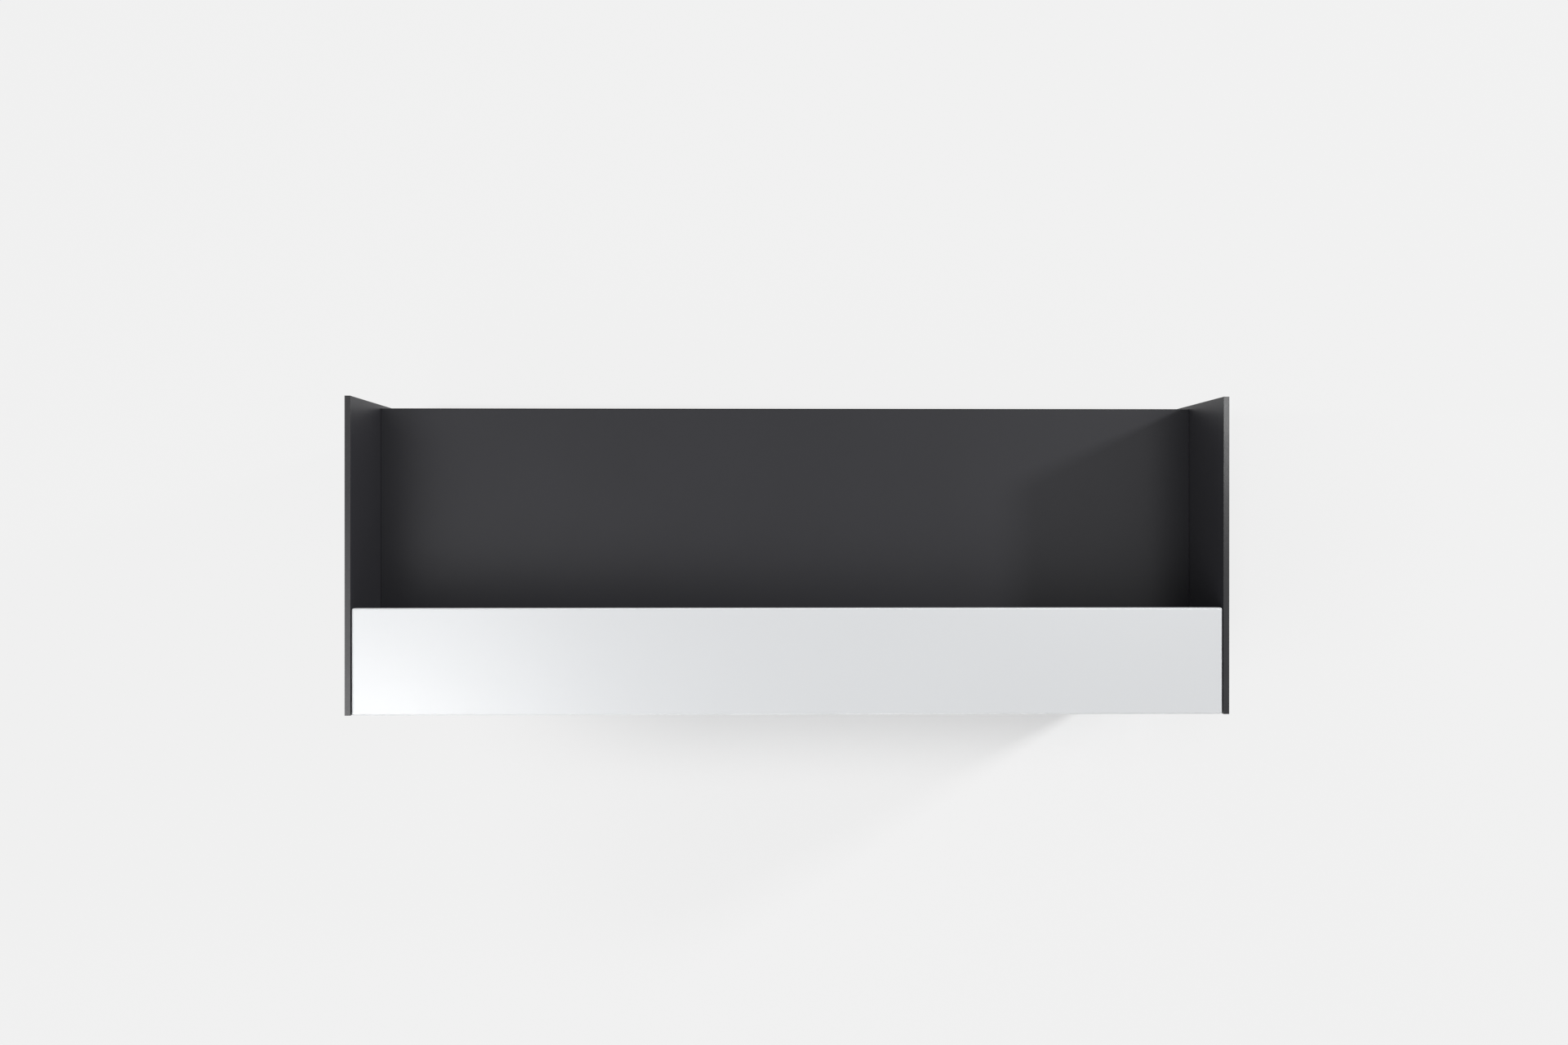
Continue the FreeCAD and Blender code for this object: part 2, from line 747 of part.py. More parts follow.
def make_feet():
    """Two feet on each end panel and two on the modesty panel, with their welded nuts as one group."""
    walls = {
        "back_left": ("left", ("-inner_face", "foot_spread")),
        "back_right": ("right", ("inner_face", "foot_spread")),
        "front_left": ("left", ("-inner_face", "-foot_spread")),
        "front_right": ("right", ("inner_face", "-foot_spread")),
        "middle_left": ("modesty", ("-middle_foot", "modesty_back")),
        "middle_right": ("modesty", ("middle_foot", "modesty_back")),
    }
    stud_spots = [make_foot(name, side, wall) for name, (side, wall) in walls.items()]
    nut = new_body("foot_nut")
    outline = new_sketch(nut, "outline", "XY_Plane")
    draw_hexagon(outline, "nut_flats")
    draw_circle(outline, "0", "0", "thread_hole")
    doc.recompute()
    pad(nut, outline, "nut_tall")
    on_bracket = "pad_tall + plate_steel"
    spots = [((0, 0, 1), (across, depthwise, on_bracket)) for across, depthwise, _ in stud_spots]
    keep("foot_nuts", copies("foot_nuts", nut, spots), len(spots))


def make_knock_down_fittings():
    """Cams, bolts and dowels that tie the modesty panel to the end panels and to the counter."""
    cam, cam_blank = cam_fitting()
    cam_spots = []
    bolt_spots = []
    dowel_spots = []
    for sign in (-1, 1):
        for level in ("cam_low", "cam_mid", "cam_high"):
            cam_spots.append((sign, (f"{sign} * (inner_face - cam_inset)", "modesty_back", level)))
            bolt_spots.append(((sign, 0, 0), (f"{sign} * inner_face", "modesty_middle", level)))
        for level in ("dowel_low", "dowel_lower", "dowel_upper", "dowel_high"):
            dowel_spots.append(((sign, 0, 0), (f"{sign} * inner_face", "modesty_middle", level)))
    cams = []
    pockets = []
    for number, (sign, spot) in enumerate(cam_spots, start=1):
        # Sunk along -Y from the panel's back face, with the bolt's mouth turned to the near end.
        turn = FreeCAD.Rotation(ACROSS, 90).multiply(FreeCAD.Rotation(UP, 0 if sign > 0 else 180))
        for master, name, members in ((cam, "cam_housing", cams), (cam_blank, "cam_pocket", pockets)):
            link = doc.addObject("App::Link", f"{name}_{number}")
            link.LinkedObject = master
            set_place(link, spot, turn)
            members.append(link)
    keep("cam_housings", compound("cam_housings", cams), len(cams))
    bolts = keep("cam_bolts", copies("cam_bolts", cam_bolt(), bolt_spots), len(bolt_spots))
    pin_master = dowel()
    ends = keep("end_dowels", copies("end_dowels", pin_master, dowel_spots), len(dowel_spots))
    line = evenly(COUNTER_DOWELS, "counter_dowel_pitch")
    top_spots = [((0, 0, 1), (across, "modesty_middle", "counter_under")) for across in line]
    tops = keep("counter_dowels", copies("counter_dowels", pin_master, top_spots), len(top_spots))
    return compound("cam_pockets", pockets), bolts, ends, tops


def make_fascia_screws():
    """Countersunk screws from inside the modesty panel into the white front."""
    screw, blank = countersunk_screw("fascia_screw", "fascia_screw")
    spots = [((0, -1, 0), (across, "modesty_back", level))
             for level in ("fascia_screw_low", "fascia_screw_high")
             for across in evenly(FASCIA_SCREWS, "fascia_screw_pitch")]
    keep("fascia_screws", copies("fascia_screws", screw, spots), len(spots))
    return copies("fascia_drilling", blank, spots)


def make_bracket_screws():
    """The pan-head screws that every bracket, cleat and tray asked for, in a group for each board."""
    short = pan_screw("panel_screw", "panel_screw")
    longer = pan_screw("top_screw", "top_screw")
    names = {"left": "panel_screws_left", "right": "panel_screws_right", "modesty": "modesty_screws",
             "worktop": "worktop_screws", "counter": "counter_screws"}
    groups = {}
    for place, name in names.items():
        master = longer if place in ("worktop", "counter") else short
        spots = screw_spots[place]
        groups[place] = keep(name, copies(name, master, spots), len(spots))
    return groups


def make_end_panels(groups, bolts, dowels):
    """The two end panels, drilled for their fittings, and the banding round each one's four edges."""
    tall = "height - floor_gap"
    for side, near in (("left", "-width / 2"), ("right", "inner_face")):
        blank = box(f"end_blank_{side}", ("board", "depth - 2 * band", f"{tall} - 2 * band"),
                    (near, "band - depth / 2", "floor_gap + band"))
        fittings = compound(f"end_drilling_{side}", [groups[side], bolts, dowels])
        keep(f"end_panel_{side}", cut(f"end_panel_{side}", blank, fittings))
        strips = [
            strip(f"{side}_top", "board", "depth", (near, "0", "height - band"), 0),
            strip(f"{side}_bottom", "board", "depth", (near, "0", "floor_gap + band"), 180),
            strip(f"{side}_back", "board", f"{tall} - 2 * band",
                  (near, "depth / 2 - band", "(height + floor_gap) / 2"), -90),
            strip(f"{side}_front", "board", f"{tall} - 2 * band",
                  (near, "band - depth / 2", "(height + floor_gap) / 2"), 90),
        ]
        keep(f"edging_{side}", compound(f"edging_{side}", strips), len(strips))


def strip(name, wide, length, corner, roll, thick="band", softened="band_round"):
    """A strip of edge banding as wide as the board, its outer long edges rounded, rolled about X."""
    body = new_body(f"strip_{name}")
    section = new_sketch(body, "section", "XZ_Plane")
    draw_rectangle(section, ("0", "0"), (wide, thick))
    pad(body, section, length, symmetric=True)
    for number, across in enumerate((0, size(wide))):
        round_edges(body, f"edge_{number}", softened, edges_through((across, None, size(thick))))
    set_place(body, corner, FreeCAD.Rotation(ACROSS, roll))
    return body


def make_worktop(groups, rail_screws):
    """The worktop between the end panels, banded on its user's edge and along the cable slot."""
    blank = box("worktop_blank",
                ("long_board", "worktop_back - worktop_front - 2 * worktop_band", "worktop_thick"),
                ("-inner_face", "worktop_front + worktop_band", "worktop_under"))
    keep("worktop", cut("worktop", blank, compound("worktop_drilling", [groups["worktop"], rail_screws])))
    bands = []
    face = size("worktop_band")
    half_thick = size("worktop_thick / 2")
    edges = {"user": ("worktop_back - worktop_band", 90), "slot": ("worktop_front + worktop_band", -90)}
    for name, (edge, turn) in edges.items():
        body = new_body(f"worktop_band_{name}")
        section = new_sketch(body, "section", "XZ_Plane")
        draw_rectangle(section, ("0", "-worktop_thick / 2"), ("worktop_band", "worktop_thick / 2"))
        pad(body, section, "long_board", symmetric=True)
        round_edges(body, "edges", "worktop_band_round",
                    edges_through((face, None, half_thick), (face, None, -half_thick)))
        set_place(body, ("0", edge, "worktop_height - worktop_thick / 2"), FreeCAD.Rotation(UP, turn))
        bands.append(body)
    keep("worktop_edging", compound("worktop_edging", bands), len(bands))


def make_modesty_panel(groups, cam_pockets, bolts, end_dowels, counter_dowels, fascia_drilling):
    """The dark inner front that ties the ends together, with its lower edge banded."""
    blank = box("modesty_blank", ("long_board", "board", "counter_under - floor_gap - band"),
                ("-inner_face", "modesty_front", "floor_gap + band"))
    fittings = [groups["modesty"], cam_pockets, bolts, end_dowels, counter_dowels, fascia_drilling]
    panel = blank
    for number, fitting in enumerate(fittings, start=1):
        panel = cut(f"modesty_cut_{number}", panel, fitting)
    keep("modesty_panel", panel)
    keep("modesty_edging", box("modesty_edging", ("long_board", "board", "band"),
                               ("-inner_face", "modesty_front", "floor_gap")))


def make_front_fascia(fascia_drilling):
    """The white front panel, its visible edges softened, held off the floor and off the counter."""
    body = new_body("fascia_blank")
    outline = new_sketch(body, "outline", "XZ_Plane")
    top = "counter_under - fascia_reveal"
    draw_rectangle(outline, ("-white_board / 2", "kick_height"), ("white_board / 2", top))
    pad(body, outline, "board")
    shown = -size("board")
    round_edges(body, "arris", "fascia_round", lambda edge: edge.BoundBox.YMax < shown + EDGE_CLOSE)
    set_place(body, ("0", "modesty_front", "0"))
    keep("front_fascia", cut("front_fascia", body, fascia_drilling))


def make_counter_top(groups, counter_dowels):
    """The white counter board: upper edges and corners well rounded, lower edges just eased."""
    body = new_body("counter_blank")
    outline = new_sketch(body, "outline", "XY_Plane")
    draw_rectangle(outline, ("-white_board / 2", "0"), ("white_board / 2", "counter_depth"))
    pad(body, outline, "counter_thick")
    round_edges(body, "upper_round", "counter_round", lambda edge: edge.BoundBox.ZMax > EDGE_CLOSE)
    round_edges(body, "lower_arris", "counter_arris", lambda edge: edge.BoundBox.ZMax < EDGE_CLOSE)
    set_place(body, ("0", "-depth / 2", "counter_under"))
    drilling = compound("counter_drilling", [groups["counter"], counter_dowels])
    keep("counter_top", cut("counter_top", body, drilling))


def check_and_write():
    """Refuse a failed or broken piece, then write each piece to its own file."""
    doc.recompute()
    for thing in doc.Objects:
        if "Invalid" in thing.State or "Error" in thing.State:
            raise RuntimeError(f"{thing.Label} failed: {thing.State}")
    for label, thing in subparts.items():
        shape = thing.Shape
        if shape.isNull() or not shape.isValid():
            raise RuntimeError(f"{label} has no valid shape")
        if len(shape.Solids) != solid_counts[label]:
            raise RuntimeError(f"{label} has {len(shape.Solids)} solids, not {solid_counts[label]}")
    os.makedirs("parts", exist_ok=True)
    for label, thing in subparts.items():
        thing.Shape.exportStep(f"parts/{label}.step")
    print(f"{len(subparts)} pieces written")


sheet = make_sheet()
make_cleats()
make_brackets()
rail_screws = make_rail()
make_tray()
make_feet()
cam_pockets, bolts, end_dowels, counter_dowels = make_knock_down_fittings()
fascia_drilling = make_fascia_screws()
groups = make_bracket_screws()
make_end_panels(groups, bolts, end_dowels)
make_worktop(groups, rail_screws)
make_modesty_panel(groups, cam_pockets, bolts, end_dowels, counter_dowels, fascia_drilling)
make_front_fascia(fascia_drilling)
make_counter_top(groups, counter_dowels)
check_and_write()
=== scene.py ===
import json
import math

import bmesh
import bpy
from mathutils import Euler, Matrix, Vector


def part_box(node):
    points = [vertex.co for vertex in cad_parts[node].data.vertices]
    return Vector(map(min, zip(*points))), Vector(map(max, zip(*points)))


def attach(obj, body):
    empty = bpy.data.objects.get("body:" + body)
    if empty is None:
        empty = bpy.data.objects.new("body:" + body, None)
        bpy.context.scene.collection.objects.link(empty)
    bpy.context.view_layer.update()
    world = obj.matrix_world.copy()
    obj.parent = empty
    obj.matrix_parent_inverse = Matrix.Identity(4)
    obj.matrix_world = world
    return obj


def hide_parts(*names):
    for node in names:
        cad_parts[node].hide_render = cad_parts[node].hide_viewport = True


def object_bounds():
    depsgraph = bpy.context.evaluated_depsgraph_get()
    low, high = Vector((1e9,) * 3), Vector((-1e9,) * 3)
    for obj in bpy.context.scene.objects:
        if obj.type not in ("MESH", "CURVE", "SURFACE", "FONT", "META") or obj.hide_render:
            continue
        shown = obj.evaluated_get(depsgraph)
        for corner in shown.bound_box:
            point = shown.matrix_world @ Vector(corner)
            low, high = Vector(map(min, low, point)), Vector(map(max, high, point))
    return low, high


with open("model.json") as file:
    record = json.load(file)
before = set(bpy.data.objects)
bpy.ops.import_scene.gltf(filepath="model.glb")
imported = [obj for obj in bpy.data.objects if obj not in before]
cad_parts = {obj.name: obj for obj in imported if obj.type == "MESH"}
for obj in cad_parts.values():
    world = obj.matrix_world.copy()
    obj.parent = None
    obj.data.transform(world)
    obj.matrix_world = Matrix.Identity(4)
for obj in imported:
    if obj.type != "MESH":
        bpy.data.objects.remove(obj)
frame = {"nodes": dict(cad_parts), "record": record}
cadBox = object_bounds()  # the CAD model's own box, before any piece is added
nodes = frame["nodes"]
record = frame["record"]
bodyOf = {node: body for body, members in record["behaviour"]["bodies"].items() for node in members}
slotOf = {row["node"]: row["material_slot"] for row in record["subparts"]}
print("frame loaded:", len(nodes), "nodes")


class Wire:  # a socket that can be used in sums
    def __init__(self, tree, socket):
        self.tree = tree
        self.socket = socket

    def node(self, kind, settings=None, inputs=None, output=0):  # settings first, then values or links
        made = self.tree.nodes.new(kind)
        for name, value in (settings or {}).items():
            setattr(made, name, value)
        for key, value in (inputs or {}).items():
            if isinstance(value, Wire):
                self.tree.links.new(value.socket, made.inputs[key])
            else:
                made.inputs[key].default_value = value
        return Wire(self.tree, made.outputs[output])

    def maths(self, operation, first, second):
        return self.node("ShaderNodeMath", {"operation": operation}, {0: first, 1: second})

    def __add__(self, other):
        return self.maths("ADD", self, other)

    def __radd__(self, other):
        return self.maths("ADD", other, self)

    def __sub__(self, other):
        return self.maths("SUBTRACT", self, other)

    def __rsub__(self, other):
        return self.maths("SUBTRACT", other, self)

    def __mul__(self, other):
        return self.maths("MULTIPLY", self, other)

    def __rmul__(self, other):
        return self.maths("MULTIPLY", other, self)

    def noise(self, scale, detail=2.0, roughness=0.5, stretch=None):  # self is a place on the surface
        place = self
        if stretch:
            place = self.node("ShaderNodeMapping", {}, {"Vector": self, "Scale": stretch})
        return self.node("ShaderNodeTexNoise", {}, {
            "Vector": place, "Scale": scale, "Detail": detail, "Roughness": roughness})

    def swing(self, amount):  # a change either way, from noise that lies about one half
        return (self - 0.5) * amount

    def mixed(self, other, share):  # a share of self, and the rest of other
        return self * share + other * (1 - share)

    def part(self, axis):  # one coordinate of a place
        return self.node("ShaderNodeSeparateXYZ", {}, {0: self}, "XYZ".index(axis))

    def between(self, low, high):  # a soft 0 to 1 step as self goes from low to high
        return self.node("ShaderNodeMapRange", {"interpolation_type": "SMOOTHSTEP"}, {
            "Value": self, "From Min": low, "From Max": high})

    def blend(self, first, second):  # two colours, by self; 6, 7 and 2 are the node's colour sockets
        return self.node("ShaderNodeMix", {"data_type": "RGBA"}, {"Factor": self, 6: first, 7: second}, 2)

    def vectors(self, operation, other, output=0):
        return self.node("ShaderNodeVectorMath", {"operation": operation}, {0: self, 1: other}, output)

    def bump(self, strength, distance):
        return self.node("ShaderNodeBump", {}, {
            "Strength": strength, "Distance": distance, "Height": self})


def newFinish(name, fixed):  # a material with what is the same all over it, its shader and places on it
    material = bpy.data.materials.new(name)
    material.use_nodes = True
    tree = material.node_tree
    shader = tree.nodes["Principled BSDF"]
    for socket, value in fixed.items():
        shader.inputs[socket].default_value = value
    place = tree.nodes.new("ShaderNodeTexCoord")
    return material, shader, Wire(tree, place.outputs["Object"])


def feed(shader, **wires):
    for socket, wire in wires.items():
        wire.tree.links.new(wire.socket, shader.inputs[socket.replace("_", " ")])


def grey(level, blue=0.0):
    return (level, level, level * (1 + blue), 1)


melamine = {
    "dark": grey(0.0215, 0.16),
    "pale": grey(0.0305, 0.16),
    "scuffed": grey(0.06, 0.05),
    "sheen": 0.26,
    "roughness": 0.44,
    "cloud": {"scale": 3.0, "detail": 3.0},  # slow drift of tone over a board
    "pearl": {"scale": 800.0},  # the pressed pearl texture
    "wiped": {"scale": 7.0, "detail": 5.0, "roughness": 0.6, "stretch": (0.3, 1.0, 1.0)},  # a cloth's marks
    "scratch": {"scale": 60.0, "detail": 5.0, "roughness": 0.7, "stretch": (0.12, 0.12, 1.6)},
    "scratchStep": (0.6, 0.78),
    "scuffHeights": (0.01, 0.14),  # shoes and mops scuff the boards low down
    "cloudShare": 0.6,
    "scuffShare": 0.5,
    "wipedSwing": 0.012,
    "pearlSwing": 0.06,
    "scuffRise": 0.12,
    "relief": {"strength": 0.3, "distance": 0.0004},
}


def darkMelamine():
    made, shader, place = newFinish("dark_melamine", {"Specular IOR Level": melamine["sheen"]})
    cloud = place.noise(**melamine["cloud"])
    pearl = place.noise(**melamine["pearl"])
    wiped = place.noise(**melamine["wiped"])
    scratch = place.noise(**melamine["scratch"]).between(*melamine["scratchStep"])
    scuff = scratch * (1 - place.part("Z").between(*melamine["scuffHeights"]))
    board = cloud.mixed(pearl, melamine["cloudShare"]).blend(melamine["dark"], melamine["pale"])
    satin = melamine["roughness"] + wiped.swing(melamine["wipedSwing"]) + pearl.swing(melamine["pearlSwing"])
    feed(shader,
         Base_Color=(scuff * melamine["scuffShare"]).blend(board, melamine["scuffed"]),
         Roughness=satin + scuff * melamine["scuffRise"],
         Normal=pearl.bump(**melamine["relief"]))
    return made


edging = {
    "dark": grey(0.015, 0.14),
    "pale": grey(0.022, 0.14),
    "sheen": 0.44,
    "roughness": 0.22,
    "scraped": {"scale": 900.0, "stretch": (1.0, 0.02, 0.02)},  # scraper lines along the end panels' strips
    "patch": {"scale": 14.0, "detail": 3.0},
    "scrapedShare": 0.4,
    "patchSwing": 0.12,
    "relief": {"strength": 0.2, "distance": 0.0003},
}


def darkEdging():
    made, shader, place = newFinish("dark_edging", {"Specular IOR Level": edging["sheen"]})
    scraped = place.noise(**edging["scraped"])
    patch = place.noise(**edging["patch"])
    feed(shader,
         Base_Color=scraped.mixed(patch, edging["scrapedShare"]).blend(edging["dark"], edging["pale"]),
         Roughness=edging["roughness"] + patch.swing(edging["patchSwing"]),
         Normal=scraped.bump(**edging["relief"]))
    return made


lacquer = {
    "white": (0.744, 0.758, 0.774, 1),
    "shade": (0.730, 0.744, 0.760, 1),
    "roughness": 0.3,
    "coatRoughness": 0.2,
    "coatIndex": 1.5,
    "cloud": {"scale": 2.2},
    "peel": {"scale": 160.0, "detail": 1.5},  # the slight orange peel of a sprayed lacquer
    "haze": {"scale": 26.0, "detail": 4.0},
    "hazeSwing": 0.05,
    "hazeLoss": 0.08,  # of the coat, where the haze is thickest
    "relief": {"strength": 0.02, "distance": 0.0004},
}


def whiteLacquer():
    made, shader, place = newFinish("white_lacquer", {
        "Coat Roughness": lacquer["coatRoughness"], "Coat IOR": lacquer["coatIndex"]})
    cloud = place.noise(**lacquer["cloud"])
    peel = place.noise(**lacquer["peel"])
    haze = place.noise(**lacquer["haze"])
    feed(shader,
         Base_Color=cloud.blend(lacquer["shade"], lacquer["white"]),
         Roughness=lacquer["roughness"] + haze.swing(lacquer["hazeSwing"]),
         Coat_Weight=1 - haze * lacquer["hazeLoss"],
         Normal=peel.bump(**lacquer["relief"]))
    return made


powder = {
    "dark": (0.20, 0.20, 0.205, 1),
    "pale": (0.31, 0.31, 0.315, 1),
    "metal": 0.35,
    "roughness": 0.46,
    "grain": {"scale": 1300.0, "detail": 3.0, "roughness": 0.6},
    "flow": {"scale": 45.0},
    "grainShare": 0.7,
    "grainSwing": 0.25,
    "relief": {"strength": 0.5, "distance": 0.0004},
}


def powderCoat():
    made, shader, place = newFinish("powder_coat", {"Metallic": powder["metal"]})
    grain = place.noise(**powder["grain"])
    flow = place.noise(**powder["flow"])
    feed(shader,
         Base_Color=grain.mixed(flow, powder["grainShare"]).blend(powder["dark"], powder["pale"]),
         Roughness=powder["roughness"] + grain.swing(powder["grainSwing"]),
         Normal=grain.bump(**powder["relief"]))
    return made


zinc = {
    "dark": (0.50, 0.50, 0.48, 1),
    "pale": (0.68, 0.67, 0.63, 1),
    "metal": 1.0,
    "roughness": 0.3,
    "spangle": {"scale": 420.0, "detail": 3.0},
    "turned": {"scale": 2600.0, "detail": 1.0},
    "spangleSwing": 0.25,
    "relief": {"strength": 0.15, "distance": 0.0001},
}


def zincSteel():
    made, shader, place = newFinish("zinc_steel", {"Metallic": zinc["metal"]})
    spangle = place.noise(**zinc["spangle"])
    turned = place.noise(**zinc["turned"])
    feed(shader,
         Base_Color=spangle.blend(zinc["dark"], zinc["pale"]),
         Roughness=zinc["roughness"] + spangle.swing(zinc["spangleSwing"]),
         Normal=turned.bump(**zinc["relief"]))
    return made


castZinc = {
    "dark": (0.34, 0.34, 0.33, 1),
    "pale": (0.5, 0.5, 0.48, 1),
    "metal": 1.0,
    "roughness": 0.48,
    "grain": {"scale": 900.0, "detail": 4.0},
    "grainSwing": 0.2,
    "relief": {"strength": 0.3, "distance": 0.0002},
}


def dieCast():
    made, shader, place = newFinish("zinc_cam", {"Metallic": castZinc["metal"]})
    grain = place.noise(**castZinc["grain"])
    feed(shader,
         Base_Color=grain.blend(castZinc["dark"], castZinc["pale"]),
         Roughness=castZinc["roughness"] + grain.swing(castZinc["grainSwing"]),
         Normal=grain.bump(**castZinc["relief"]))
    return made


beech = {
    "early": (0.58, 0.38, 0.22, 1),
    "late": (0.42, 0.25, 0.13, 1),
    "roughness": 0.6,
    "grain": {"scale": 420.0, "detail": 4.0, "stretch": (0.05, 1.0, 0.3)},
    "grainStep": (0.35, 0.65),
    "grainSwing": 0.2,
    "relief": {"strength": 0.2, "distance": 0.0002},
}


def rawBeech():
    made, shader, place = newFinish("beech", {})
    grain = place.noise(**beech["grain"])
    feed(shader,
         Base_Color=grain.between(*beech["grainStep"]).blend(beech["early"], beech["late"]),
         Roughness=beech["roughness"] + grain.swing(beech["grainSwing"]),
         Normal=grain.bump(**beech["relief"]))
    return made


nylon = {
    "dark": grey(0.011),
    "pale": grey(0.022),
    "roughness": 0.44,
    "grain": {"scale": 800.0},
    "scuff": {"scale": 130.0, "detail": 4.0},
    "grainShare": 0.4,
    "scuffSwing": 0.3,
    "relief": {"strength": 0.25, "distance": 0.0002},
}


def blackNylon():
    made, shader, place = newFinish("black_nylon", {})
    grain = place.noise(**nylon["grain"])
    scuff = place.noise(**nylon["scuff"])
    feed(shader,
         Base_Color=grain.mixed(scuff, nylon["grainShare"]).blend(nylon["dark"], nylon["pale"]),
         Roughness=nylon["roughness"] + scuff.swing(nylon["scuffSwing"]),
         Normal=grain.bump(**nylon["relief"]))
    return made


finishes = {
    "dark_melamine": darkMelamine(),
    "dark_edging": darkEdging(),
    "white_lacquer": whiteLacquer(),
    "powder_coat": powderCoat(),
    "zinc_steel": zincSteel(),
    "zinc_cam": dieCast(),
    "beech": rawBeech(),
    "black_nylon": blackNylon(),
}
for node, slot in slotOf.items():
    mesh = nodes[node].data
    mesh.materials.clear()
    mesh.materials.append(finishes[slot])
print("finishes given:", len(finishes))


def formMesh(name, form):  # a mesh made from a bmesh, which is used up
    mesh = bpy.data.meshes.new(name)
    form.to_mesh(mesh)
    form.free()
    return mesh


def inScene(name, data):
    made = bpy.data.objects.new(name, data)
    bpy.context.scene.collection.objects.link(made)
    return made


def newPiece(name, form, node, crease=55, stands=True):  # it stands for a CAD node, or else lies on it
    for face in form.faces:
        face.smooth = True
    mesh = formMesh(name, form)
    mesh.set_sharp_from_angle(angle=math.radians(crease))
    mesh.materials.append(finishes[slotOf[node]])
    piece = inScene(name, mesh)
    flats = piece.modifiers.new("flats", "WEIGHTED_NORMAL")  # big faces stay flat beside rounded edges
    flats.keep_sharp = True
    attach(piece, bodyOf[node])
    if stands:
        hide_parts(node)


tolerance = {
    "join": 1e-6,  # points this near each other are one
    "level": 1e-5,  # a point this near a face's level lies in it
    "cut": 1e-7,  # a point this near a saw cut lies in it
    "flat": 0.5,  # degrees, below which two faces are one flat face
}


def mergedCopy(node):  # the CAD piece with its points joined and its flat faces whole
    form = bmesh.new()
    form.from_mesh(nodes[node].data)
    bmesh.ops.remove_doubles(form, verts=form.verts, dist=tolerance["join"])
    bmesh.ops.dissolve_limit(form, angle_limit=math.radians(tolerance["flat"]),
                             verts=form.verts, edges=form.edges)
    return form


def blockForm(low, high):  # a block between two corners
    form = bmesh.new()
    bmesh.ops.create_cube(form, size=1.0)
    bmesh.ops.scale(form, vec=high - low, verts=form.verts)
    bmesh.ops.translate(form, vec=(high + low) / 2, verts=form.verts)
    return form


def farthest(edge, axis):  # how far an edge reaches along an axis
    return max(getattr(vert.co, axis) for vert in edge.verts)


def soften(form, edges, radius, segments):
    bmesh.ops.bevel(form, geom=edges, offset=radius, offset_type="OFFSET", affect="EDGES",
                    segments=segments, profile=0.5, material=-1, clamp_overlap=False)


counter = {"round": 0.005, "roundSegments": 8, "arris": 0.0015, "arrisSegments": 3}


def counterTop():
    low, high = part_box("counter_top")
    form = blockForm(low, high)
    underside = low.z + tolerance["level"]
    upper = [edge for edge in form.edges if farthest(edge, "z") > underside]
    soften(form, upper, counter["round"], counter["roundSegments"])
    lower = [edge for edge in form.edges if farthest(edge, "z") < underside]
    soften(form, lower, counter["arris"], counter["arrisSegments"])
    newPiece("counter_board", form, "counter_top")


fascia = {"round": 0.002, "segments": 5}


def frontFascia():
    low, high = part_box("front_fascia")
    form = blockForm(low, high)
    shown = [edge for edge in form.edges if farthest(edge, "y") < low.y + tolerance["level"]]
    soften(form, shown, fascia["round"], fascia["segments"])
    newPiece("front_board", form, "front_fascia")


counterTop()
frontFascia()
print("white boards made")

worktop = {"arris": 0.0012, "segments": 3}


def workBoard():  # the arrises of its two ends are eased, which shows the joints with the end panels
    low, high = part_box("worktop")
    form = mergedCopy("worktop")
    middle = (low + high) / 2
    reach = high - middle
    ends = []
    for edge in form.edges:
        spots = [vert.co - middle for vert in edge.verts]
        outer = all(abs(abs(spot.x) - reach.x) < tolerance["level"] for spot in spots)
        level = all(abs(abs(spot.z) - reach.z) < tolerance["level"] for spot in spots)
        if outer and level:
            ends.append(edge)
    soften(form, ends, worktop["arris"], worktop["segments"])
    newPiece("work_board", form, "worktop")


workBoard()
print("worktop made")

easing = {
    "radius": {"powder_coat": 0.0005, "black_nylon": 0.0006},  # by finish
    "segments": 2,
    "corner": 30,  # degrees, past which a corner is eased
}


def easedCopy(node, radius):  # the CAD piece with its sharp corners eased
    form = mergedCopy(node)
    corners = [edge for edge in form.edges if edge.calc_face_angle() > math.radians(easing["corner"])]
    soften(form, corners, radius, easing["segments"])
    newPiece(node + "_eased", form, node)


for node, slot in slotOf.items():
    if slot in easing["radius"]:
        easedCopy(node, easing["radius"][slot])
print("steel and fittings eased")

weld = {
    "radius": 0.0022,
    "sides": 12,
    "ripple": 0.0021,  # length of one ripple
    "steps": 3,  # along one ripple
    "swell": 0.25,  # share by which the bead narrows along a ripple
    "taper": 0.004,  # length over which it is drawn in at both ends
    "steel": 0.004,  # thickness of a bracket and its gusset
    "near": 0.010,  # where a run on a gusset starts, from the bracket's corner
    "far": 0.103,  # where it ends
    "corner": 0.0015,  # how far a run round the tube stays from the tube's corners
}


def beadMesh(length):  # a bead along X from the origin, in ripples and drawn in at both ends
    form = bmesh.new()
    across = Matrix.Rotation(math.pi / 2, 4, "Y")
    circle = bmesh.ops.create_circle(form, segments=weld["sides"], radius=weld["radius"], matrix=across)
    edges = form.edges[:]
    steps = math.ceil(length / weld["ripple"]) * weld["steps"]
    bmesh.ops.spin(form, geom=circle["verts"] + edges, cent=(0, 0, 0), axis=(1, 0, 0), angle=0,
                   dvec=(length / steps, 0, 0), steps=steps)
    for vert in form.verts:
        fade = min(1, vert.co.x / weld["taper"], (length - vert.co.x) / weld["taper"])
        scallop = 1 - weld["swell"] * (vert.co.x / weld["ripple"] % 1)
        vert.co.yz *= scallop * math.sqrt(max(0, fade))
    bmesh.ops.remove_doubles(form, verts=form.verts, dist=tolerance["join"])
    return formMesh("bead", form)


